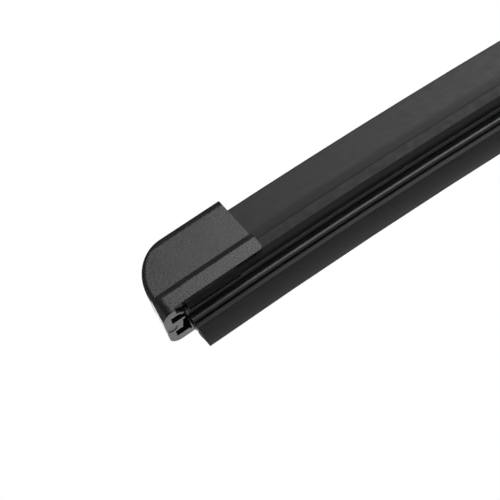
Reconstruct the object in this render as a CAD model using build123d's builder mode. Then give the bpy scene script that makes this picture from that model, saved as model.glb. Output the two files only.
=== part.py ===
from build123d import *
import os
from math import acos, atan2, cos, degrees, sin, sqrt

# A flat wiper blade that hangs from the hook of a wiper arm. The origin is the middle of the
# pivot pin, X runs along the blade, Y across it, and Z points away from the glass. The blade
# bends along one long arc, and every height in a section is measured up from the wiping edge.
blade_length = 400.0
bend_radius = 1800.0
pin_height = 25.0
slide_gap = 0.1
body_gap = 0.3

# Wiping rubber, seen in section
lip_edge_width = 0.7
lip_waist_width = 2.0
lip_waist_height = 2.2
shoulder_width = 4.4
shoulder_bottom = 4.0
shoulder_side = 1.2
neck_width = 1.5
neck_height = 0.7
bead_width = 5.4
bead_height = 1.7
bead_round = 0.6
seat_width = 3.6
seat_height = 0.95
web_width = 2.2
head_width = 4.6
head_height = 1.6
head_round = 0.5

# Spring rails
rail_width = 3.55
rail_thickness = 0.9
rail_edge_round = 0.2
notch_length = 2.0
notch_depth = 0.6
notch_from_end = 1.6

# Spoiler
spoiler_lip = 0.35
spoiler_lip_reach = 0.3
spoiler_claw_wall = 0.2
spoiler_width = 11.95
spoiler_edge_low = 9.96
spoiler_edge_high = 12.5
spoiler_top = 26.5
spoiler_crest_radius = 0.9
spoiler_flare_radius = 2.2
spoiler_ledge = 0.3
spoiler_wall = 1.2
spoiler_cavity_width = 6.6
spoiler_cavity_height = 6.5

# End cap
cap_overhang = 5.95
cap_grip = 22.2
cap_width = 13.7
cap_skirt_bottom = 9.4
cap_block_bottom = 8.65
cap_corner_radius = 3.0
cap_ledge = 15.0
cap_shoulder_radius = 2.1
cap_panel_foot_width = 9.4
cap_crest_width = 5.2
cap_top = 29.0
cap_panel_end = 5.15
cap_sweep_length = 10.6
cap_crest_radius = 1.25
cap_wall = 0.62
cap_fin_wall = 4.1
cap_claw_length = 14.7
cap_claw_thickness = 0.42
cap_claw_reach = 0.35
cap_end_round = 1.0

# Underside of the cap's end block
slot_inner = 1.95
slot_outer = 4.35
slot_from_end = 1.95
slot_depth = 3.6
near_strip_from_end = 3.65
web_from_end = 4.75
web_slant = 0.8
ejector_radius = 1.3
ejector_depth = 0.12
ejector_from_end = 1.6
prong_width = 0.75
prong_rise = 0.1
pocket_gap = 0.15
far_strip_beyond = 0.6
recess_edge = 5.2

# Connector bracket with its two cheeks
base_length = 48.0
base_width = 12.6
base_claw_length = 8.0
base_claw_thickness = 0.75
base_claw_reach = 0.7
base_floor = 1.1
cheek_gap = 12.4
cheek_thickness = 1.5
cheek_foot = 26.0
cheek_boss_radius = 4.6

# Pivot pin
pin_radius = 2.5
pin_head_radius = 3.7
pin_head_height = 0.9
pin_head_bevel = 0.35
press_gap = 0.02
running_gap = 0.06

# Adapter that takes the arm's hook
hook_width = 9.0
hook_thickness = 4.0
hook_gap = 0.1
core_radius = 4.2
flange_thickness = 1.3
flange_nose = 0.6
adapter_back = 17.0
adapter_back_bottom = 2.0
adapter_bottom_back = 10.5
adapter_wall = 1.6
tongue_thickness = 1.0
tongue_slit = 0.4
tongue_free_end = -3.0
channel_height = 4.7
nub_radius = 1.6
nub_height = 0.4
nub_place = 2.0
grip_rib_width = 0.6
grip_rib_height = 0.4

# Connector cover
cover_length = 80.0
cover_sleeve = 5.0
cover_width = 18.0
cover_flat = 26.0
cover_flare = 22.0
cover_side_top = 18.0
cover_side_round = 1.2
cover_end_top = 28.0
cover_crest_width = 4.0
cover_wall = 1.1
lug_length = 10.0
lug_height = 0.6
lug_reach = 0.7

# Heights and half widths that follow from the sizes above
shoulder_top = shoulder_bottom + shoulder_side
bead_bottom = shoulder_top + neck_height
bead_top = bead_bottom + bead_height
rail_bottom = bead_top + seat_height
rail_top = rail_bottom + rail_thickness
head_bottom = rail_top + slide_gap / 2
head_top = head_bottom + head_height
rail_inner = web_width / 2 + slide_gap
rail_outer = rail_inner + rail_width
rubber_half = blade_length / 2 - cap_overhang
claw_inner = rail_outer + slide_gap / 2
spoiler_half = spoiler_width / 2
channel_half = head_width / 2 + slide_gap
channel_top = head_top + slide_gap
pocket_half = spoiler_half + pocket_gap
near_strip_end = near_strip_from_end - cap_overhang
far_strip_end = far_strip_beyond
web_end = web_from_end - cap_overhang
slot_start = slot_from_end - cap_overhang
spoiler_lip_bottom = rail_bottom - slide_gap / 2 - spoiler_lip

bend_axis = Axis((0, 0, -pin_height - bend_radius), (0, 1, 0))


def station(distance):
    """Cross-section plane at a distance along the blade: x across it, y up from the lip."""
    turn = distance / bend_radius
    along = (cos(turn), 0, -sin(turn))
    centre = (bend_radius * sin(turn), 0, bend_radius * (cos(turn) - 1) - pin_height)
    return Plane(origin=centre, x_dir=(0, 1, 0), z_dir=along)


def bend_angle(length):
    """Angle of the blade's arc over a length along it."""
    return degrees(length / bend_radius)


def spoiler_face(gap):
    """Draws the right half of the spoiler's face, grown by a gap: from the edge's top corner along a
    narrow ledge, up the flare at its foot, and along the straight face to the round crest."""
    crest_radius = spoiler_crest_radius + gap
    flare_radius = spoiler_flare_radius - gap
    crest_centre = Vector(0, spoiler_top - spoiler_crest_radius)
    flare_centre = Vector(spoiler_half - spoiler_ledge, spoiler_edge_high + spoiler_flare_radius)
    between = flare_centre - crest_centre
    face_turn = atan2(between.Y, between.X) + acos((crest_radius + flare_radius) / between.length)
    middle_turn = (degrees(face_turn) + 90) / 2
    outward = Vector(1, 0)
    flare_low = flare_centre - Vector(0, flare_radius)
    flare_middle = flare_centre - outward.rotate(Axis.Z, middle_turn) * flare_radius
    flare_high = flare_centre - outward.rotate(Axis.Z, degrees(face_turn)) * flare_radius
    crest_low = crest_centre + outward.rotate(Axis.Z, degrees(face_turn)) * crest_radius
    crest_middle = crest_centre + outward.rotate(Axis.Z, middle_turn) * crest_radius
    Line((spoiler_half + gap, flare_low.Y), flare_low)
    ThreePointArc(flare_low, flare_middle, flare_high)
    Line(flare_high, crest_low)
    ThreePointArc(crest_low, crest_middle, (0, spoiler_top + gap))


os.makedirs("parts", exist_ok=True)

# Wiping rubber: one extrusion with a wedge lip, stiff shoulders, a thin neck that lets the lip
# tip over at each stroke, a round bead under the rails, and a head that hangs over them.
with BuildPart() as wiping_rubber:
    with BuildSketch(station(-rubber_half)):
        with BuildLine():
            lip_corner = (lip_edge_width / 2, 0)
            shoulder_corner = (shoulder_width / 2, shoulder_bottom)
            lip_waist = (lip_waist_width / 2, lip_waist_height)
            Line((0, 0), lip_corner)
            ThreePointArc(lip_corner, lip_waist, shoulder_corner)
            Polyline(
                shoulder_corner,
                (shoulder_width / 2, shoulder_top),
                (neck_width / 2, shoulder_top),
                (neck_width / 2, bead_bottom),
                (bead_width / 2 - bead_round, bead_bottom),
            )
            ThreePointArc(
                (bead_width / 2 - bead_round, bead_bottom),
                (bead_width / 2, (bead_bottom + bead_top) / 2),
                (bead_width / 2 - bead_round, bead_top),
            )
            Polyline(
                (bead_width / 2 - bead_round, bead_top),
                (seat_width / 2, bead_top),
                (seat_width / 2, rail_bottom - slide_gap / 2),
                (web_width / 2, rail_bottom - slide_gap / 2),
                (web_width / 2, head_bottom),
                (head_width / 2, head_bottom),
                (head_width / 2, head_top - head_round),
                (head_width / 2 - head_round, head_top),
                (0, head_top),
            )
            mirror(about=Plane.YZ)
        make_face()
    revolve(axis=bend_axis, revolution_arc=bend_angle(2 * rubber_half))
wiping_rubber.part.label = "wiping_rubber"
export_step(wiping_rubber.part, "parts/wiping_rubber.step")

# Spring rails: two flat strips of spring steel that press the rubber on the glass. Each has a
# notch in its outer edge near both ends and in the middle, where the caps and bracket lock.
for side, name in ((-1, "front_rail"), (1, "rear_rail")):
    with BuildPart() as rail:
        with BuildSketch(station(-rubber_half)):
            with Locations((side * (rail_inner + rail_width / 2), rail_bottom + rail_thickness / 2)):
                RectangleRounded(rail_width, rail_thickness, rail_edge_round)
        revolve(axis=bend_axis, revolution_arc=bend_angle(2 * rubber_half))
        end_notch = rubber_half - notch_from_end - notch_length
        for start in (-end_notch - notch_length, -notch_length / 2, end_notch):
            with BuildSketch(station(start)):
                with Locations((side * rail_outer, rail_bottom + rail_thickness / 2)):
                    Rectangle(2 * notch_depth, 2 * rail_thickness)
            revolve(axis=bend_axis, revolution_arc=bend_angle(notch_length), mode=Mode.SUBTRACT)
    rail.part.label = name
    export_step(rail.part, f"parts/{name}.step")

# Spoilers: two soft extrusions, one each side of the connector. The claws hold the rails from
# outside, a channel clears the rubber's head, and a long cavity keeps the foot of the fin soft.
spoiler_end = rubber_half - cap_fin_wall - body_gap
spoiler_start = cover_length / 2 - cover_sleeve
spoiler_reach = spoiler_end - spoiler_start
cavity_bottom = channel_top + spoiler_wall
for first_end, name in ((-spoiler_end, "spoiler_left"), (spoiler_start, "spoiler_right")):
    with BuildPart() as spoiler:
        with BuildSketch(station(first_end)):
            with BuildLine():
                lip_tip = claw_inner - spoiler_lip_reach
                Polyline(
                    (0, channel_top),
                    (channel_half, channel_top),
                    (channel_half, rail_top + slide_gap / 2),
                    (claw_inner, rail_top + slide_gap / 2),
                    (claw_inner, rail_bottom - slide_gap / 2),
                    (lip_tip, rail_bottom - slide_gap / 2),
                    (lip_tip, spoiler_lip_bottom),
                    (claw_inner + spoiler_claw_wall, spoiler_lip_bottom),
                    (spoiler_half, spoiler_edge_low),
                    (spoiler_half, spoiler_edge_high),
                )
                spoiler_face(0)
                mirror(about=Plane.YZ)
            make_face()
            with BuildLine():
                Polyline(
                    (-spoiler_cavity_width / 2, cavity_bottom),
                    (spoiler_cavity_width / 2, cavity_bottom),
                    (0, cavity_bottom + spoiler_cavity_height),
                    close=True,
                )
            make_face(mode=Mode.SUBTRACT)
        revolve(axis=bend_axis, revolution_arc=bend_angle(spoiler_reach))
    spoiler.part.label = name
    export_step(spoiler.part, f"parts/{name}.step")


def cap_frame(side):
    """Frame of an end cap: x from the rubber's end towards the middle, z up from the lip."""
    middle = cap_grip / 2
    section = station(side * (rubber_half - middle))
    inward = section.z_dir * -side
    return Plane(origin=section.origin - inward * middle, x_dir=inward, z_dir=section.y_dir)


def placed(frame, plane):
    """A plane of the cap's own frame, placed where the cap sits on the blade."""
    return Plane(frame.location * plane.location)


# End caps: one moulding used at both ends, turned half a turn. A low block with side bands and a
# rounded shoulder carries the fin. The pocket slides over the spoiler, two claws run back under
# the spoiler's lower edges, and a barb each side snaps into the notch of a rail.
chamfer_low = Vector(claw_inner + spoiler_claw_wall, spoiler_lip_bottom)
chamfer_high = Vector(spoiler_half, spoiler_edge_low)
chamfer_out = (chamfer_high - chamfer_low).normalized().rotate(Axis.Z, -90)
for side, name in ((-1, "end_cap_left"), (1, "end_cap_right")):
    frame = cap_frame(side)
    with BuildPart() as cap:
        with BuildSketch(placed(frame, Plane.XY.offset(cap_block_bottom))) as outline:
            with Locations(((cap_grip - cap_overhang) / 2, 0)):
                Rectangle(cap_overhang + cap_grip, cap_width)
            fillet(outline.vertices().sort_by(Axis.X)[:2], cap_corner_radius)
        extrude(amount=cap_ledge - cap_block_bottom)
        with BuildSketch(placed(frame, Plane.YZ.offset(-cap_overhang))) as shoulders:
            with Locations((0, (cap_block_bottom + cap_ledge) / 2)):
                Rectangle(cap_width, cap_ledge - cap_block_bottom)
            fillet(shoulders.vertices().sort_by(Axis.Y)[2:], cap_shoulder_radius)
        extrude(amount=cap_overhang + cap_grip, mode=Mode.INTERSECT)

        # the fin's panels lean in from the ledge to the crest; the block's end wall leans in a
        # little, and the fin's end sweeps on from it to the crest in one quarter of an ellipse
        foot_height = cap_ledge - cap_shoulder_radius / 2
        with BuildSketch(placed(frame, Plane.YZ.offset(-cap_panel_end))):
            with BuildLine():
                Polyline(
                    (cap_panel_foot_width / 2, foot_height),
                    (cap_crest_width / 2, cap_top),
                    (-cap_crest_width / 2, cap_top),
                    (-cap_panel_foot_width / 2, foot_height),
                    close=True,
                )
            make_face()
        extrude(amount=cap_panel_end + cap_grip)
        with BuildSketch(placed(frame, Plane.XZ)):
            with BuildLine():
                crest_start = cap_sweep_length - cap_panel_end
                EllipticalCenterArc(
                    (crest_start, cap_ledge),
                    cap_sweep_length,
                    cap_top - cap_ledge,
                    start_angle=90,
                    arc_size=90,
                )
                Polyline(
                    (-cap_panel_end, cap_ledge),
                    (-cap_overhang, cap_block_bottom),
                    (-cap_panel_end - cap_overhang, cap_block_bottom),
                    (-cap_panel_end - cap_overhang, cap_top + cap_crest_radius),
                    (crest_start, cap_top + cap_crest_radius),
                    (crest_start, cap_top),
                )
            make_face()
        extrude(amount=cap_width, both=True, mode=Mode.SUBTRACT)
        rim = ShapeList()
        for edge in cap.edges():
            spot = frame.to_local_coords(edge.center())
            if spot.Z > cap_ledge + 1 and abs(spot.Y) > 1 and spot.X < cap_grip - 1:
                rim.append(edge)
        fillet(rim, cap_crest_radius)

        # behind the end block the side bands stop a little higher, as thin skirts
        for strip_end, strip_side in ((near_strip_end, -1), (far_strip_end, 1)):
            with BuildSketch(placed(frame, Plane.XY.offset(cap_block_bottom))):
                with Locations(((strip_end + cap_grip) / 2, strip_side * (cap_width / 2 + recess_edge) / 2)):
                    Rectangle(cap_grip - strip_end, cap_width / 2 - recess_edge)
            extrude(amount=cap_skirt_bottom - cap_block_bottom, mode=Mode.SUBTRACT)

        # the skirts' lower corners are rounded where they end on the blade
        skirt_ends = ShapeList()
        for edge in cap.edges():
            spot = frame.to_local_coords(edge.center())
            if abs(spot.X - cap_grip) < slide_gap and abs(spot.Z - cap_skirt_bottom) < slide_gap:
                skirt_ends.append(edge)
        fillet(skirt_ends, cap_end_round)

        # pocket open below for the rubber's head and the rails' ends, and the block's two slots
        with BuildSketch(placed(frame, Plane.XY.offset(cap_block_bottom))):
            with Locations(((far_strip_end + cap_grip) / 2, 0)):
                Rectangle(cap_grip - far_strip_end, 2 * pocket_half)
            with BuildLine():
                Polyline(
                    (web_end, -slot_inner),
                    (far_strip_end, -slot_inner),
                    (far_strip_end, slot_inner),
                    (web_end - web_slant, slot_inner),
                    close=True,
                )
            make_face()
            Rectangle(2 * far_strip_end, 2 * (rail_outer + slide_gap))
            with Locations(((slot_start + far_strip_end) / 2, 0)):
                with GridLocations(0, slot_inner + slot_outer, 1, 2):
                    Rectangle(far_strip_end - slot_start, slot_outer - slot_inner)
            with Locations(((near_strip_end + far_strip_end) / 2, -(slot_outer + recess_edge) / 2)):
                Rectangle(far_strip_end - near_strip_end, recess_edge - slot_outer)
        extrude(amount=channel_top + slide_gap - cap_block_bottom, mode=Mode.SUBTRACT)
        with BuildSketch(placed(frame, Plane.XY.offset(cap_block_bottom))):
            with Locations(((near_strip_end + far_strip_end) / 2, -(recess_edge + pocket_half) / 2)):
                Rectangle(far_strip_end - near_strip_end, pocket_half - recess_edge)
            with Locations((ejector_from_end - cap_overhang, 0)):
                Circle(ejector_radius)
        extrude(amount=ejector_depth, mode=Mode.SUBTRACT)

        # prong at the near slot's mouth and the barb at the tip of the web
        with BuildSketch(placed(frame, Plane.XY.offset(cap_block_bottom))):
            with BuildLine():
                prong_root = (near_strip_end - prong_width, -slot_outer - prong_width / 2)
                prong_tip = (-body_gap - prong_width / 2, -slot_outer + prong_width)
                prong_bend = ((prong_root[0] + prong_tip[0]) / 2, prong_root[1] + prong_rise)
                ThreePointArc(prong_root, prong_bend, prong_tip)
            trace(line_width=prong_width)
            nub_end = -body_gap - prong_width / 2
            with Locations(((web_end + nub_end - prong_width) / 2, -slot_inner + prong_width / 2)):
                Rectangle(nub_end - web_end + prong_width, prong_width)
        extrude(amount=slot_depth)

        # pocket for the spoiler, its outline grown by the gap
        with BuildSketch(placed(frame, Plane.YZ.offset(cap_fin_wall))):
            with BuildLine():
                Polyline((0, 0), (pocket_half, 0), (pocket_half, spoiler_edge_high + pocket_gap))
                spoiler_face(pocket_gap)
                mirror(about=Plane.YZ)
            make_face()
        extrude(amount=cap_grip, mode=Mode.SUBTRACT)

        # claws under the spoiler's lower edges, with a barb that locks in the rail's notch
        claw_in_high = chamfer_high + chamfer_out * pocket_gap
        claw_in_low = chamfer_low + chamfer_out * pocket_gap
        claw_out_high = chamfer_high + chamfer_out * (pocket_gap + cap_claw_thickness)
        claw_out_low = chamfer_low + chamfer_out * (pocket_gap + cap_claw_thickness)
        hook_top = spoiler_lip_bottom - pocket_gap
        hook_edge = claw_inner - cap_claw_reach
        with BuildSketch(placed(frame, Plane.YZ.offset(far_strip_end))):
            with BuildLine():
                Polyline(
                    claw_in_high,
                    (claw_in_low.X, hook_top),
                    (hook_edge, hook_top),
                    (hook_edge, claw_out_low.Y),
                    claw_out_low,
                    claw_out_high,
                    (cap_width / 2 - cap_wall / 2, cap_skirt_bottom + cap_wall),
                    (pocket_half, cap_skirt_bottom + cap_wall),
                    close=True,
                )
            make_face()
            mirror(about=Plane.YZ)
        extrude(amount=cap_claw_length - far_strip_end)
        notch_start = notch_from_end + slide_gap
        with BuildSketch(placed(frame, Plane.YZ.offset(notch_start))):
            barb_tip = rail_outer - notch_depth + slide_gap
            barb_root = chamfer_low.X + cap_claw_thickness
            with GridLocations(barb_tip + barb_root, 0, 2, 1):
                with Locations((0, rail_bottom + rail_thickness / 2)):
                    Rectangle(barb_root - barb_tip, rail_thickness)
        extrude(amount=notch_length - 2 * slide_gap)
    cap.part.label = name
    export_step(cap.part, f"parts/{name}.step")

# Connector bracket: a die-cast floor that lies on both rails, with two pairs of claws folded
# round the rails' edges, a barb in each middle notch, and two cheeks that carry the pin.
floor_top = channel_top + base_floor
cheek_floor_bottom = rail_top + base_floor
cheek_inner = cheek_gap / 2
cheek_outer = cheek_inner + cheek_thickness
with BuildPart() as connector_base:
    with BuildSketch(station(-base_length / 2)):
        with BuildLine():
            Polyline(
                (0, channel_top),
                (channel_half, channel_top),
                (channel_half, rail_top + slide_gap / 2),
                (claw_inner, rail_top + slide_gap / 2),
                (claw_inner, rail_bottom - slide_gap / 2),
                (claw_inner - base_claw_reach, rail_bottom - slide_gap / 2),
                (claw_inner - base_claw_reach, rail_bottom - slide_gap / 2 - base_claw_thickness),
                (base_width / 2, rail_bottom - slide_gap / 2 - base_claw_thickness),
                (base_width / 2, floor_top),
                (0, floor_top),
            )
            mirror(about=Plane.YZ)
        make_face()
    revolve(axis=bend_axis, revolution_arc=bend_angle(base_length))
    # between the two pairs of claws only the floor and its barbs remain
    open_length = base_length - 2 * base_claw_length
    with BuildSketch(station(-open_length / 2)):
        with Locations((0, rail_bottom / 2)):
            Rectangle(2 * base_width, rail_bottom + 2 * rail_thickness + slide_gap)
    revolve(axis=bend_axis, revolution_arc=bend_angle(open_length), mode=Mode.SUBTRACT)
    barb_length = notch_length - 2 * slide_gap
    with BuildSketch(station(-barb_length / 2)):
        barb_inner = rail_outer - notch_depth + slide_gap
        with GridLocations(barb_inner + base_width / 2, 0, 2, 1):
            with Locations((0, (rail_bottom + floor_top) / 2)):
                Rectangle(base_width / 2 - barb_inner, floor_top - rail_bottom)
    revolve(axis=bend_axis, revolution_arc=bend_angle(barb_length))
    # the floor is wider under the cheeks
    foot_reach = cheek_outer - base_width / 2 + cheek_thickness
    with BuildSketch(Plane.XY.offset(cheek_floor_bottom - pin_height)):
        with GridLocations(0, 2 * cheek_outer - foot_reach, 1, 2):
            Rectangle(cheek_foot, foot_reach)
    extrude(amount=floor_top - cheek_floor_bottom)
    for cheek_side in (-1, 1):
        with BuildSketch(Plane.XZ.offset(-cheek_side * (cheek_inner + cheek_thickness / 2))):
            with Locations((0, floor_top - base_floor / 2 - pin_height)):
                Rectangle(cheek_foot, base_floor)
            Circle(cheek_boss_radius)
            make_hull()
        extrude(amount=cheek_thickness / 2, both=True)
    with BuildSketch(Plane.XZ):
        Circle(pin_radius + press_gap)
    extrude(amount=cheek_outer + cheek_thickness, both=True, mode=Mode.SUBTRACT)
connector_base.part.label = "connector_base"
export_step(connector_base.part, "parts/connector_base.step")

# Pivot pin: a steel rivet through both cheeks, with a low head formed at each end
with BuildPart() as pivot_pin:
    with BuildSketch(Plane.XZ):
        Circle(pin_radius)
    extrude(amount=cheek_outer + press_gap, both=True)
    for head_side in (-1, 1):
        with BuildSketch(Plane.XZ.offset(head_side * (cheek_outer + press_gap))):
            Circle(pin_head_radius)
        extrude(amount=head_side * pin_head_height)
    rims = pivot_pin.edges().filter_by(GeomType.CIRCLE).sort_by(Axis.Y)
    chamfer([rims[0], rims[-1]], pin_head_bevel)
pivot_pin.part.label = "pivot_pin"
export_step(pivot_pin.part, "parts/pivot_pin.step")

# Hook adapter: a moulded clip that turns on the pin. The arm's hook goes round its core between
# two flanges, and the nub on the springy tongue below snaps into the hole in the hook's end.
core_half = hook_width / 2 + hook_gap
flange_outer = core_half + flange_thickness
flange_radius = core_radius + hook_thickness + hook_gap + flange_nose
channel_floor = -core_radius - channel_height
adapter_bottom = channel_floor - tongue_thickness
flange_low = (tongue_free_end, -sqrt(flange_radius**2 - tongue_free_end**2))
with BuildPart() as hook_adapter:
    with BuildSketch(Plane.XZ):
        with BuildLine():
            Polyline(
                (0, flange_radius),
                (adapter_back, flange_radius),
                (adapter_back, -adapter_back_bottom),
                (adapter_bottom_back, adapter_bottom),
                (tongue_free_end, adapter_bottom),
                flange_low,
            )
            ThreePointArc(flange_low, (-flange_radius, 0), (0, flange_radius))
        make_face()
    extrude(amount=flange_outer, both=True)
    # room for the hook over, round and under the core
    with BuildSketch(Plane.XZ):
        with BuildLine():
            back_slope = (adapter_bottom_back - adapter_back) / (adapter_bottom + adapter_back_bottom)
            back_low = adapter_bottom_back + back_slope * (channel_floor - adapter_bottom)
            back_high = adapter_bottom_back + back_slope * (-core_radius - adapter_bottom)
            Polyline(
                (adapter_back - adapter_wall, flange_radius + hook_gap),
                (adapter_back - adapter_wall, core_radius),
                (0, core_radius),
            )
            ThreePointArc((0, core_radius), (-core_radius, 0), (0, -core_radius))
            Polyline(
                (0, -core_radius),
                (back_high - adapter_wall, -core_radius),
                (back_low - adapter_wall, channel_floor),
                (tongue_free_end, channel_floor),
                (tongue_free_end, adapter_bottom - hook_gap),
                (-2 * flange_radius, adapter_bottom - hook_gap),
                (-2 * flange_radius, flange_radius + hook_gap),
                (adapter_back - adapter_wall, flange_radius + hook_gap),
            )
        make_face()
    extrude(amount=core_half, both=True, mode=Mode.SUBTRACT)
    # slits that free the tongue from the flanges
    tongue_half = core_half - tongue_slit
    slit_end = adapter_bottom_back - 2 * adapter_wall
    with BuildSketch(Plane.XY.offset(adapter_bottom - hook_gap)):
        with Locations(((tongue_free_end + slit_end) / 2, 0)):
            with GridLocations(0, core_half + tongue_half, 1, 2):
                Rectangle(slit_end - tongue_free_end, tongue_slit)
    extrude(amount=tongue_thickness + 2 * hook_gap, mode=Mode.SUBTRACT)
    # nub on top of the tongue, and grip ribs under its free end
    with BuildSketch(Plane.XY.offset(channel_floor)):
        with Locations((nub_place, 0)):
            Circle(nub_radius)
    extrude(amount=nub_height, taper=20)
    with BuildSketch(Plane.XY.offset(adapter_bottom)):
        with Locations((tongue_free_end + 3 * grip_rib_width, 0)):
            with GridLocations(2 * grip_rib_width, 0, 3, 1):
                Rectangle(grip_rib_width, 2 * tongue_half)
    extrude(amount=-grip_rib_height)
    with BuildSketch(Plane.XZ):
        Circle(pin_radius + running_gap)
    extrude(amount=2 * flange_outer, both=True, mode=Mode.SUBTRACT)
hook_adapter.part.label = "hook_adapter"
export_step(hook_adapter.part, "parts/hook_adapter.step")

# Connector cover: a moulded shroud with an open well for the bracket. Its two ends are sleeves
# that slide over the spoilers, and two lugs inside snap under the edges of the bracket's floor.
well_half_length = base_length / 2 + body_gap
well_half_width = cheek_outer + slide_gap
sleeve_side = cap_width / 2
shoulder_start = cap_ledge - cap_shoulder_radius
with BuildPart() as connector_cover:
    # side walls that bulge round the cheeks and draw in to the blade's own width
    with BuildSketch(Plane.XY.offset(cap_skirt_bottom - pin_height)):
        with BuildLine():
            flat_corner = (cover_flat / 2, cover_width / 2)
            flare_end = (cover_flat / 2 + cover_flare, sleeve_side)
            Line((0, cover_width / 2), flat_corner)
            flare_middle = ((flat_corner[0] + flare_end[0]) / 2, (flat_corner[1] + flare_end[1]) / 2)
            TangentArc(flat_corner, flare_middle, tangent=(1, 0))
            TangentArc(flare_end, flare_middle, tangent=(-1, 0))
            Line(flare_end, (flare_end[0], 0))
            mirror(about=Plane.XZ)
            mirror(about=Plane.YZ)
        make_face()
    extrude(amount=cover_side_top - cap_skirt_bottom)
    fillet(connector_cover.faces().sort_by(Axis.Z)[-1].edges(), cover_side_round)
    # sleeves in the form of the end caps
    for first_end in (-cover_length / 2, well_half_length - 2 * cover_wall):
        with BuildSketch(station(first_end)):
            with BuildLine():
                shoulder_in = sleeve_side - cap_shoulder_radius
                Polyline(
                    (0, cap_skirt_bottom),
                    (sleeve_side, cap_skirt_bottom),
                    (sleeve_side, shoulder_start),
                )
                RadiusArc((sleeve_side, shoulder_start), (shoulder_in, cap_ledge), -cap_shoulder_radius)
                Polyline(
                    (shoulder_in, cap_ledge),
                    (cover_crest_width / 2, cover_end_top),
                    (0, cover_end_top),
                )
                mirror(about=Plane.YZ)
            make_face()
        sleeve_reach = cover_length / 2 - well_half_length + 2 * cover_wall
        revolve(axis=bend_axis, revolution_arc=bend_angle(sleeve_reach))
    # the crest dips in one long wave from each sleeve to the side walls
    with BuildSketch(Plane.XZ):
        with BuildLine():
            wave_low = (well_half_length - cover_sleeve, cover_side_top - pin_height)
            wave_high = (spoiler_start, cover_end_top - pin_height)
            Line((0, wave_low[1]), wave_low)
            Spline(wave_low, wave_high, tangents=((1, 0), (1, 0)))
            Polyline(wave_high, (wave_high[0], pin_height), (0, pin_height))
            mirror(about=Plane.YZ)
        make_face()
    extrude(amount=cover_width, both=True, mode=Mode.SUBTRACT)
    # pockets for the spoilers, channel for the rails and the rubber's head, well for the bracket
    for first_end in (-cover_length / 2, spoiler_start - body_gap):
        with BuildSketch(station(first_end)):
            with BuildLine():
                Polyline((0, 0), (pocket_half, 0), (pocket_half, spoiler_edge_high + pocket_gap))
                spoiler_face(pocket_gap)
                mirror(about=Plane.YZ)
            make_face()
        revolve(axis=bend_axis, revolution_arc=bend_angle(cover_sleeve + body_gap), mode=Mode.SUBTRACT)
    with BuildSketch(station(-cover_length / 2)):
        with Locations((0, channel_top / 2)):
            Rectangle(2 * (rail_outer + slide_gap), channel_top + slide_gap)
    revolve(axis=bend_axis, revolution_arc=bend_angle(cover_length), mode=Mode.SUBTRACT)
    with BuildSketch(Plane.XY.offset(-pin_height)):
        Rectangle(2 * well_half_length, base_width + 2 * slide_gap)
        Rectangle(cheek_foot + 2 * body_gap, 2 * well_half_width)
    extrude(amount=2 * pin_height, mode=Mode.SUBTRACT)
    # lugs
    with BuildSketch(Plane.XY.offset(cheek_floor_bottom - slide_gap - lug_height - pin_height)):
        with GridLocations(0, 2 * well_half_width - lug_reach + slide_gap, 1, 2):
            Rectangle(lug_length, lug_reach + slide_gap)
    extrude(amount=lug_height)
connector_cover.part.label = "connector_cover"
export_step(connector_cover.part, "parts/connector_cover.step")
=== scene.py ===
import math

import bpy
from mathutils import Matrix, Vector

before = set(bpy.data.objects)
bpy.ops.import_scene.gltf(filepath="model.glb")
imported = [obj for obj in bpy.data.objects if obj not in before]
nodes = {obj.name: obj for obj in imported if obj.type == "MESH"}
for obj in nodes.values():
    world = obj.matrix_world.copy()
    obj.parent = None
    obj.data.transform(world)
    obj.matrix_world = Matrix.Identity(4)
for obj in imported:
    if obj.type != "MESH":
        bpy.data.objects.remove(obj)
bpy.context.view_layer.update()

# Spring rails
# Two flat strips of rolled spring steel, bent to one long arc, that press the rubber on the glass.
# They are dipped and baked in a satin black coat, which keeps the faint lines of the rolling.
bend_radius = 1.8
pin_height = 0.025
rail_black = ((0.13, 0.13, 0.133), (0.15, 0.15, 0.153))
rail_roughness = (0.34, 0.46)
# Near-black tone painted along the rails' outer edges as the shade of the spoilers' claws.
rail_shade_tone = (0.006, 0.006, 0.006)
rail_shade_start = 0.0039
rail_shade_blend = 0.0002
rail_edge_radius = 0.0001
rolled_lines_per_metre = 3000
rolled_line_share = 0.5
coat_bumps_per_metre = 1500
coat_bump_depth = 0.000006
mottle_share = 0.08
line_stretch = (0.006, 1, 1)
noise_range = (0.3, 0.7)
edge_samples = 6


def add(tree, kind, **settings):
    """Adds a shader node and sets its own settings."""
    node = tree.nodes.new("ShaderNode" + kind)
    for name, value in settings.items():
        setattr(node, name, value)
    return node


def feed(tree, value, socket):
    """Sets an input to a plain number, or links it to another node's result."""
    if isinstance(value, (int, float)):
        socket.default_value = value
    else:
        tree.links.new(value, socket)


def maths(tree, operation, first, second=0):
    """A math node whose inputs are plain numbers or other nodes' results."""
    node = add(tree, "Math", operation=operation)
    feed(tree, first, node.inputs[0])
    feed(tree, second, node.inputs[1])
    return node.outputs["Value"]


def hypotenuse(tree, first, second):
    """The length of the long side over two sides at a right angle."""
    squares = [maths(tree, "MULTIPLY", side, side) for side in (first, second)]
    return maths(tree, "SQRT", maths(tree, "ADD", *squares))


def between(tree, value, low, high):
    """Stretches a value that runs from 0 to 1 to run from a low to a high one."""
    node = add(tree, "MapRange")
    node.inputs["To Min"].default_value = low
    node.inputs["To Max"].default_value = high
    tree.links.new(value, node.inputs["Value"])
    return node.outputs["Result"]


def step_up(tree, value, low, high):
    """A soft mask: 0 where a value is below the low mark, 1 above the high one."""
    node = add(tree, "MapRange", interpolation_type="SMOOTHSTEP")
    feed(tree, low, node.inputs["From Min"])
    feed(tree, high, node.inputs["From Max"])
    tree.links.new(value, node.inputs["Value"])
    return node.outputs["Result"]


def step_down(tree, value, low, high):
    """A soft mask: 1 where a value is below the low mark, 0 above the high one."""
    return maths(tree, "SUBTRACT", 1, step_up(tree, value, low, high))


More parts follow.
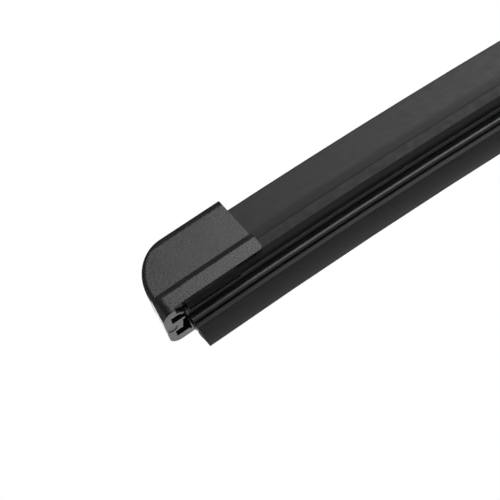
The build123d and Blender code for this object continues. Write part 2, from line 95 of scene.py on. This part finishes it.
def blend_of(tree, mask, first, second):
    """Mixes two colours, each a socket or three numbers, by a mask."""
    node = add(tree, "Mix", data_type="RGBA")
    tree.links.new(mask, node.inputs["Factor"])
    for name, value in (("A", first), ("B", second)):
        socket = next(s for s in node.inputs if s.name == name and s.type == "RGBA")
        if isinstance(value, tuple):
            socket.default_value = (*value, 1)
        else:
            tree.links.new(value, socket)
    return next(s for s in node.outputs if s.type == "RGBA")


def noise(tree, place, scale, detail, roughness=0.5):
    """A noise texture, with its usual range stretched to fill 0 to 1."""
    texture = add(tree, "TexNoise")
    texture.inputs["Detail"].default_value = detail
    texture.inputs["Roughness"].default_value = roughness
    tree.links.new(place, texture.inputs["Vector"])
    tree.links.new(scale, texture.inputs["Scale"])
    return step_up(tree, texture.outputs["Fac"], *noise_range)


def place_parts(tree):
    """The X, Y and Z of a point in the part's own frame."""
    parts = add(tree, "SeparateXYZ")
    tree.links.new(add(tree, "TexCoord").outputs["Object"], parts.inputs["Vector"])
    return parts.outputs


def new_group(name, inputs, outputs):
    """An empty shader group, the sockets of what it is given and those of its results."""
    tree = bpy.data.node_groups.new(name, "ShaderNodeTree")
    for label, value in inputs:
        socket = tree.interface.new_socket(label, in_out="INPUT", socket_type="NodeSocketFloat")
        socket.default_value = value
    for label in outputs:
        tree.interface.new_socket(label, in_out="OUTPUT", socket_type="NodeSocketFloat")
    given = tree.nodes.new("NodeGroupInput").outputs
    results = tree.nodes.new("NodeGroupOutput").inputs
    return tree, given, results


def fine_grain_group():
    """Fine grain of a moulded or coated surface: its height, and a slow mottle for tone and gloss."""
    tree, given, results = new_group(
        "fine_grain", [("Grains per metre", coat_bumps_per_metre)], ["Height", "Mottle"]
    )
    place = add(tree, "TexCoord").outputs["Object"]
    grains = given["Grains per metre"]
    patches = maths(tree, "MULTIPLY", grains, mottle_share)
    tree.links.new(noise(tree, place, grains, detail=3, roughness=0.65), results["Height"])
    tree.links.new(noise(tree, place, patches, detail=4), results["Mottle"])
    return tree


def long_lines_group():
    """Fine lines along the blade, as rolling and extruding leave them."""
    tree, given, results = new_group(
        "long_lines", [("Lines per metre", rolled_lines_per_metre)], ["Lines"]
    )
    stretch = add(tree, "Mapping")
    stretch.inputs["Scale"].default_value = line_stretch
    tree.links.new(add(tree, "TexCoord").outputs["Object"], stretch.inputs["Vector"])
    lines = noise(tree, stretch.outputs["Vector"], given["Lines per metre"], detail=3)
    tree.links.new(lines, results["Lines"])
    return tree


def section_group():
    """A point's height above the bent wiping edge, and its way along the blade from the middle."""
    tree, _, results = new_group("blade_section", [], ["Height", "From middle"])
    parts = place_parts(tree)
    reach = maths(tree, "ADD", parts["Z"], pin_height + bend_radius)
    height = maths(tree, "SUBTRACT", hypotenuse(tree, reach, parts["X"]), bend_radius)
    turn = maths(tree, "ARCTAN2", parts["X"], reach)
    along = maths(tree, "MULTIPLY", turn, bend_radius)
    tree.links.new(height, results["Height"])
    tree.links.new(maths(tree, "ABSOLUTE", along), results["From middle"])
    return tree


fine_grain = fine_grain_group()
long_lines = long_lines_group()
blade_section = section_group()


def placed_group(tree, group, *values):
    """Places a group in a material, feeds its inputs in their order, and gives its results."""
    node = add(tree, "Group", node_tree=group)
    for socket, value in zip(node.inputs, values):
        feed(tree, value, socket)
    return node.outputs


def new_material(name, specular=0.5, metal=0.0):
    """A material with the shader's constant values set; its tree and its shader."""
    material = bpy.data.materials.new(name)
    material.use_nodes = True
    shader = material.node_tree.nodes["Principled BSDF"]
    shader.inputs["Specular IOR Level"].default_value = specular
    shader.inputs["Metallic"].default_value = metal
    return material, material.node_tree, shader


def relief(tree, shader, height, depth, edge_radius):
    """Raises a surface by a height mask and softens its edges by a small radius."""
    edge = add(tree, "Bevel", samples=edge_samples)
    edge.inputs["Radius"].default_value = edge_radius
    bump = add(tree, "Bump")
    bump.inputs["Distance"].default_value = depth
    tree.links.new(height, bump.inputs["Height"])
    tree.links.new(edge.outputs["Normal"], bump.inputs["Normal"])
    tree.links.new(bump.outputs["Normal"], shader.inputs["Normal"])


def coated_steel():
    """Satin black coat over rolled steel, with painted shade blackening the outer edges where the
    claws shade them.
    """
    material, tree, shader = new_material("coated_steel")
    grain = placed_group(tree, fine_grain, coat_bumps_per_metre)
    lines = placed_group(tree, long_lines, rolled_lines_per_metre)["Lines"]
    across = maths(tree, "ABSOLUTE", place_parts(tree)["Y"])
    # Painted shade: near-black along the rails' outer edges, where the spoilers' claws shade them.
    edge = step_up(tree, across, rail_shade_start, rail_shade_start + rail_shade_blend)
    tone = blend_of(tree, edge, blend_of(tree, lines, *rail_black), rail_shade_tone)
    raised_lines = maths(tree, "MULTIPLY", lines, rolled_line_share)
    raised = maths(tree, "ADD", grain["Height"], raised_lines)
    tree.links.new(tone, shader.inputs["Base Color"])
    tree.links.new(between(tree, grain["Mottle"], *rail_roughness), shader.inputs["Roughness"])
    relief(tree, shader, raised, coat_bump_depth, rail_edge_radius)
    return material


def dress(name, material):
    """Gives a CAD node its finished material."""
    slots = nodes[name].data.materials
    slots.clear()
    slots.append(material)


rail_coat = coated_steel()
dress("front_rail", rail_coat)
dress("rear_rail", rail_coat)

# Wiping rubber
# One extrusion of black rubber, hung by its head between the rails. Graphite leaves the lip matt and
# faintly streaked and thins out over the shoulders; the round bead and the neck above stay glossy.
rubber_half = 0.19405
cut_end_start = 0.00006
cut_end_full = 0.00003
wiping_cut = 0.0006
wiping_cut_blend = 0.0001
graphite_full = 0.0042
graphite_end = 0.0064
graphite_tones = ((0.010, 0.010, 0.011), (0.018, 0.018, 0.019))
cut_tone = (0.022, 0.022, 0.023)
bead_tones = ((0.010, 0.010, 0.011), (0.016, 0.016, 0.017))
# Darker tone painted on the rubber's cut ends as the shade of the end cap.
end_shade_tone = (0.008, 0.008, 0.008)
graphite_roughness = 0.66
streak_roughness = 0.08
bead_roughness = 0.2
end_roughness = 0.3
bead_film = 0.6
film_roughness = 0.3
rubber_grains_per_metre = 2600
rubber_lines_per_metre = 1800
rubber_relief = 0.000005
rubber_edge_radius = 0.00008
bead_rounds = ((0.0058, 0.0078, 0.0005), (0.0046, 0.0054, 0.0004), (0.0038, 0.0043, -0.0002))


def soft_round_group():
    """Leans a face back between two heights, as a larger round on its edge would."""
    inputs = [("Raised", 0), ("Height", 0), ("Low", 0), ("High", 1), ("Fall", 0)]
    tree, given, results = new_group("soft_round", inputs, ["Raised"])
    passed = step_up(tree, given["Height"], given["Low"], given["High"])
    fallen = maths(tree, "MULTIPLY", passed, given["Fall"])
    tree.links.new(maths(tree, "SUBTRACT", given["Raised"], fallen), results["Raised"])
    return tree


soft_round = soft_round_group()


def rounded(tree, raised, height, rounds, depth):
    """Places the rounds; each is a low and a high mark and the fall between them, in metres."""
    for low, high, fall in rounds:
        raised = placed_group(tree, soft_round, raised, height, low, high, fall / depth)["Raised"]
    return raised


def rubber():
    """Black rubber: graphite on the lip, a glossy film on the bead, a plain cut at the wiping edge,
    and painted shade darkening the cut ends.
    """
    material, tree, shader = new_material("rubber", specular=0.45)
    grain = placed_group(tree, fine_grain, rubber_grains_per_metre)
    lines = placed_group(tree, long_lines, rubber_lines_per_metre)["Lines"]
    place = placed_group(tree, blade_section)
    height = place["Height"]
    end = step_up(tree, place["From middle"], rubber_half - cut_end_start, rubber_half - cut_end_full)
    bare = step_up(tree, height, graphite_full, graphite_end)
    above_cut = step_up(tree, height, wiping_cut - wiping_cut_blend, wiping_cut + wiping_cut_blend)
    lip = blend_of(tree, above_cut, cut_tone, blend_of(tree, lines, *graphite_tones))
    bead = blend_of(tree, grain["Mottle"], *bead_tones)
    sides = blend_of(tree, bare, lip, bead)
    smoothed = maths(tree, "MULTIPLY", bare, graphite_roughness - bead_roughness)
    roughness = maths(tree, "SUBTRACT", graphite_roughness, smoothed)
    streaked = maths(tree, "ADD", roughness, maths(tree, "MULTIPLY", lines, streak_roughness))
    roughness = maths(tree, "MAXIMUM", streaked, maths(tree, "MULTIPLY", end, end_roughness))
    film = maths(tree, "MULTIPLY", bare, maths(tree, "SUBTRACT", bead_film, end))
    # Painted shade: the cut ends take the darker end tone.
    tree.links.new(blend_of(tree, end, sides, end_shade_tone), shader.inputs["Base Color"])
    tree.links.new(roughness, shader.inputs["Roughness"])
    tree.links.new(maths(tree, "MAXIMUM", film, 0), shader.inputs["Coat Weight"])
    shader.inputs["Coat Roughness"].default_value = film_roughness
    raised = maths(tree, "ADD", grain["Height"], lines)
    raised = rounded(tree, raised, height, bead_rounds, rubber_relief)
    relief(tree, shader, raised, rubber_relief, rubber_edge_radius)
    return material


dress("wiping_rubber", rubber())

# Spoilers
# One long extrusion of soft black plastic each side of the arm, whose two claws grip the rails and
# whose hollow fin keeps the blade down at speed. The die leaves faint lines along the matt faces.
spoiler_tones = ((0.018, 0.018, 0.019), (0.022, 0.022, 0.023))
spoiler_roughness = (0.42, 0.52)
claw_top = 0.0093
claw_bottom = 0.0080
claw_smoothing = 0.40
# Near-black tone painted under the spoiler's claws as the shade there.
claw_shade_tone = (0.004, 0.004, 0.004)
foot_low = 0.0124
foot_high = 0.0150
# Darker tone painted at the fin's foot as the shade of its hollow.
foot_shade_tone = (0.008, 0.008, 0.008)
foot_dulling = 0.10
foot_rounds = ((0.0124, 0.0172, 0.0004),)
spoiler_grains_per_metre = 6000
spoiler_lines_per_metre = 1200
spoiler_line_share = 0.6
spoiler_relief = 0.000006
spoiler_edge_radius = 0.00004
shade_fade_start = 0.0006
shade_fade_end = 0.0004


def claw_shade_group():
    """Mask of painted shade where claws close in under the rails: below a height, and short of the
    rubber's cut ends.
    """
    inputs = [("Height", 0), ("From middle", 0), ("Bottom", 0), ("Top", 1)]
    tree, given, results = new_group("claw_shade", inputs, ["Shade"])
    low = step_down(tree, given["Height"], given["Bottom"], given["Top"])
    fade_start = rubber_half - shade_fade_start
    fade_end = rubber_half - shade_fade_end
    inside = step_down(tree, given["From middle"], fade_start, fade_end)
    tree.links.new(maths(tree, "MULTIPLY", low, inside), results["Shade"])
    return tree


claw_shade = claw_shade_group()


def spoiler_plastic():
    """Matt extruded plastic with painted shade: darker at the fin's foot, and dark under the claws,
    which are also smoother.
    """
    material, tree, shader = new_material("spoiler_plastic", specular=0.3)
    grain = placed_group(tree, fine_grain, spoiler_grains_per_metre)
    lines = placed_group(tree, long_lines, spoiler_lines_per_metre)["Lines"]
    place = placed_group(tree, blade_section)
    height = place["Height"]
    shade_marks = (height, place["From middle"], claw_bottom, claw_top)
    claw = placed_group(tree, claw_shade, *shade_marks)["Shade"]
    # Painted shade: the fin darkens towards its foot.
    foot = step_down(tree, height, foot_low, foot_high)
    face = blend_of(tree, foot, blend_of(tree, lines, *spoiler_tones), foot_shade_tone)
    dulled = maths(tree, "MULTIPLY", foot, foot_dulling)
    smoothed = maths(tree, "MULTIPLY", claw, claw_smoothing)
    roughness = maths(tree, "ADD", between(tree, grain["Mottle"], *spoiler_roughness), dulled)
    raised_lines = maths(tree, "MULTIPLY", lines, spoiler_line_share)
    raised = maths(tree, "ADD", grain["Height"], raised_lines)
    raised = rounded(tree, raised, height, foot_rounds, spoiler_relief)
    # Painted shade: near-black under the claws.
    tree.links.new(blend_of(tree, claw, face, claw_shade_tone), shader.inputs["Base Color"])
    tree.links.new(maths(tree, "SUBTRACT", roughness, smoothed), shader.inputs["Roughness"])
    relief(tree, shader, raised, spoiler_relief, spoiler_edge_radius)
    return material


spoiler_finish = spoiler_plastic()
dress("spoiler_left", spoiler_finish)
dress("spoiler_right", spoiler_finish)

# End caps
# One hard plastic moulding closes each end, takes in the end of the spoiler and locks with its claws
# in the rails' notches. Its mould is etched, which gives it a fine sand-like grain.
cap_tones = ((0.016, 0.016, 0.017), (0.030, 0.030, 0.031))
cap_roughness = (0.14, 0.22)
cap_grains_per_metre = 3600
cap_grain_depth = 0.000022
cap_edge_radius = 0.00015
cap_rounds = ((0.0128, 0.0143, 0.00028), (0.0150, 0.0156, 0.00018), (0.0269, 0.0290, 0.0004))
cap_claw_top = 0.0091
cap_claw_bottom = 0.0090
# Near-black tone painted under the claws of the caps, bracket and clip as the shade there.
cap_claw_shade_tone = (0.003, 0.003, 0.003)
pit_share = 0.6


def grained(name, tones, roughness, grains_per_metre, grain_depth, rounds=()):
    """Hard plastic or paint with an even grain, and painted shade darkening it below where claws
    close in under the rails.
    """
    material, tree, shader = new_material(name, specular=0.45)
    grain = placed_group(tree, fine_grain, grains_per_metre)
    place = placed_group(tree, blade_section)
    height = place["Height"]
    tone = blend_of(tree, grain["Mottle"], *tones)
    pit_tone = tuple(pit_share * part for part in tones[0])
    face = blend_of(tree, grain["Height"], pit_tone, tone)
    shade_marks = (height, place["From middle"], cap_claw_bottom, cap_claw_top)
    claw = placed_group(tree, claw_shade, *shade_marks)["Shade"]
    # Painted shade: near-black where claws close in under the rails.
    tree.links.new(blend_of(tree, claw, face, cap_claw_shade_tone), shader.inputs["Base Color"])
    tree.links.new(between(tree, grain["Mottle"], *roughness), shader.inputs["Roughness"])
    raised = rounded(tree, grain["Height"], height, rounds, grain_depth)
    relief(tree, shader, raised, grain_depth, cap_edge_radius)
    return material


cap_finish = grained(
    "cap_plastic", cap_tones, cap_roughness, cap_grains_per_metre, cap_grain_depth, cap_rounds
)
dress("end_cap_left", cap_finish)
dress("end_cap_right", cap_finish)

# Connector bracket
# A zinc casting clamped on both rails at the middle, with two cheeks for the pin. It is powder
# coated black, a little thicker and rougher than the rails' coat.
powder_tones = ((0.034, 0.034, 0.036), (0.044, 0.044, 0.046))
powder_roughness = (0.4, 0.52)
powder_bumps_per_metre = 1400
powder_bump_depth = 0.00003
powder_finish = grained(
    "powder_coat", powder_tones, powder_roughness, powder_bumps_per_metre, powder_bump_depth
)
dress("connector_base", powder_finish)

# Pivot pin
# A turned steel rivet through both cheeks, with low formed heads. The lathe's rings show on the
# heads, and the steel is bare and slightly dull.
steel_tones = ((0.42, 0.42, 0.43), (0.55, 0.55, 0.56))
steel_roughness = (0.26, 0.4)
steel_grains_per_metre = 900
ring_waves_per_metre = 50000
ring_depth = 0.000002
pin_edge_radius = 0.0001


def turned_steel():
    """Bare steel with the fine rings of turning about the pin's axis."""
    material, tree, shader = new_material("turned_steel", metal=1.0)
    mottle = placed_group(tree, fine_grain, steel_grains_per_metre)["Mottle"]
    parts = place_parts(tree)
    from_axis = hypotenuse(tree, parts["X"], parts["Z"])
    rings = maths(tree, "SINE", maths(tree, "MULTIPLY", from_axis, ring_waves_per_metre))
    tree.links.new(blend_of(tree, mottle, *steel_tones), shader.inputs["Base Color"])
    tree.links.new(between(tree, mottle, *steel_roughness), shader.inputs["Roughness"])
    relief(tree, shader, rings, ring_depth, pin_edge_radius)
    return material


dress("pivot_pin", turned_steel())

# Hook adapter
# A clip of stiff glass-filled plastic that turns on the pin and takes the arm's hook. It comes
# from a polished mould, smoother than the cap, with the fibres as a faint cloudy mottle.
clip_tones = ((0.040, 0.040, 0.041), (0.062, 0.062, 0.064))
clip_roughness = (0.36, 0.5)
clip_grains_per_metre = 5200
clip_grain_depth = 0.000012
clip_finish = grained(
    "clip_plastic", clip_tones, clip_roughness, clip_grains_per_metre, clip_grain_depth
)
dress("hook_adapter", clip_finish)

# Connector cover
# A shroud of the same hard plastic and the same etched grain as the end caps. It slides over the
# spoilers' inner ends and snaps on the bracket.
dress("connector_cover", cap_finish)

# Floor
# A plain pale floor well below the blade, which hangs above it from the arm's hook. To the camera
# alone it is paler still, and the light that it throws back up on the blade stays low.
floor_depth = 1.05
floor_half = 40.0
floor_tone = (0.8, 0.8, 0.8, 1)
floor_roughness = 0.9
floor_paleness = 0.7
white_light = (1, 1, 1, 1)
floor_mesh = bpy.data.meshes.new("floor")
floor_mesh.from_pydata(
    [
        (-floor_half, -floor_half, -floor_depth),
        (floor_half, -floor_half, -floor_depth),
        (floor_half, floor_half, -floor_depth),
        (-floor_half, floor_half, -floor_depth),
    ],
    [],
    [(0, 1, 2, 3)],
)
floor = bpy.data.objects.new("floor", floor_mesh)
bpy.context.scene.collection.objects.link(floor)
floor_paint, floor_tree, floor_shader = new_material("floor_paint", specular=0.2)
floor_shader.inputs["Base Color"].default_value = floor_tone
floor_shader.inputs["Roughness"].default_value = floor_roughness
floor_shader.inputs["Emission Color"].default_value = white_light
to_camera = add(floor_tree, "LightPath").outputs["Is Camera Ray"]
glow = maths(floor_tree, "MULTIPLY", to_camera, floor_paleness)
floor_tree.links.new(glow, floor_shader.inputs["Emission Strength"])
floor_mesh.materials.append(floor_paint)

# World and lamps
# The background is white to the camera alone. A large lamp stands high in front, a pale wall behind
# and a small lamp off the blade's end, so that glossy faces shine and turned-away edges stay dark.
ambient_strength = 0.1
lamp_distance = 1.2
blade_end = Vector((-0.18, 0, -0.03))
world = bpy.data.worlds.new("world")
bpy.context.scene.world = world
world.use_nodes = True
world_tree = world.node_tree
world_tree.nodes.clear()
rays = add(world_tree, "LightPath")
ambient = add(world_tree, "Background")
ambient.inputs["Strength"].default_value = ambient_strength
backdrop = add(world_tree, "Background")
backdrop.inputs["Color"].default_value = white_light
choose = add(world_tree, "MixShader")
world_output = add(world_tree, "OutputWorld")
world_tree.links.new(rays.outputs["Is Camera Ray"], choose.inputs["Fac"])
world_tree.links.new(ambient.outputs["Background"], choose.inputs[1])
world_tree.links.new(backdrop.outputs["Background"], choose.inputs[2])
world_tree.links.new(choose.outputs["Shader"], world_output.inputs["Surface"])


def softbox(name, azimuths, elevations, brightness):
    """A soft lamp that fills a range of directions as seen from the blade's end, in degrees.

    Azimuth 0 is straight in front of the blade, towards -Y, and 90 is towards +X.
    """
    width, height = (
        2 * lamp_distance * math.tan(math.radians(high - low) / 2)
        for low, high in (azimuths, elevations)
    )
    azimuth, elevation = (math.radians(sum(limits) / 2) for limits in (azimuths, elevations))
    level = math.cos(elevation)
    away = Vector((math.sin(azimuth) * level, -math.cos(azimuth) * level, math.sin(elevation)))
    light = bpy.data.lights.new(name, "AREA")
    light.shape = "RECTANGLE"
    light.size = width
    light.size_y = height
    light.energy = brightness * math.pi * width * height
    lamp = bpy.data.objects.new(name, light)
    bpy.context.scene.collection.objects.link(lamp)
    lamp.location = blade_end + lamp_distance * away
    lamp.rotation_euler = (-away).to_track_quat("-Z", "Y").to_euler()
    lamp.visible_camera = False


softbox("front_lamp", azimuths=(6, 60), elevations=(-2, 53), brightness=3.6)
softbox("back_wall", azimuths=(140, 220), elevations=(-50, 35), brightness=1.35)
softbox("end_lamp", azimuths=(-110, -70), elevations=(0, 40), brightness=0.5)
bpy.context.scene.view_settings.view_transform = "Standard"

# Camera
# It stands below the near side of the left end cap and looks up at it, rolled over, so that the
# blade runs from the lower left to the upper right, as in the photograph.
camera_turn = math.radians(12.84)
camera_rise = math.radians(27.07)
camera_roll = math.radians(-40.09)
camera_distance = 0.2522
camera_slide = (-0.00108, 0.00170)
camera_target = (0.020, 0.0, 0.012)
camera_lens = 78.35
camera_sensor = 36.0
camera_nearest = 0.001
target_station = -0.19325


def blade_axes(distance):
    """A point on the wiping edge, and the directions along the blade and away from the glass."""
    turn = distance / bend_radius
    along = Vector((math.cos(turn), 0, -math.sin(turn)))
    away = Vector((math.sin(turn), 0, math.cos(turn)))
    drop = bend_radius * (math.cos(turn) - 1) - pin_height
    return Vector((bend_radius * math.sin(turn), 0, drop)), along, away


edge_point, along, away = blade_axes(target_station)
across = Vector((0, 1, 0))


def end_direction(x, y, z):
    """A direction given in the axes of the blade's end, turned into the blade's own frame."""
    return along * x + across * y + away * z


look = end_direction(
    math.cos(camera_rise) * math.sin(camera_turn),
    math.cos(camera_rise) * math.cos(camera_turn),
    math.sin(camera_rise),
)
level_right = end_direction(math.cos(camera_turn), -math.sin(camera_turn), 0)
level_up = level_right.cross(look)
right = math.cos(camera_roll) * level_right + math.sin(camera_roll) * level_up
up = math.cos(camera_roll) * level_up - math.sin(camera_roll) * level_right
target = edge_point + end_direction(*camera_target)
stand = target - look * camera_distance + right * camera_slide[0] + up * camera_slide[1]
lens = bpy.data.cameras.new("camera")
lens.lens = camera_lens
lens.sensor_width = camera_sensor
lens.clip_start = camera_nearest
camera = bpy.data.objects.new("camera", lens)
bpy.context.scene.collection.objects.link(camera)
camera.matrix_world = Matrix.Translation(stand) @ Matrix((right, up, -look)).transposed().to_4x4()
bpy.context.scene.camera = camera
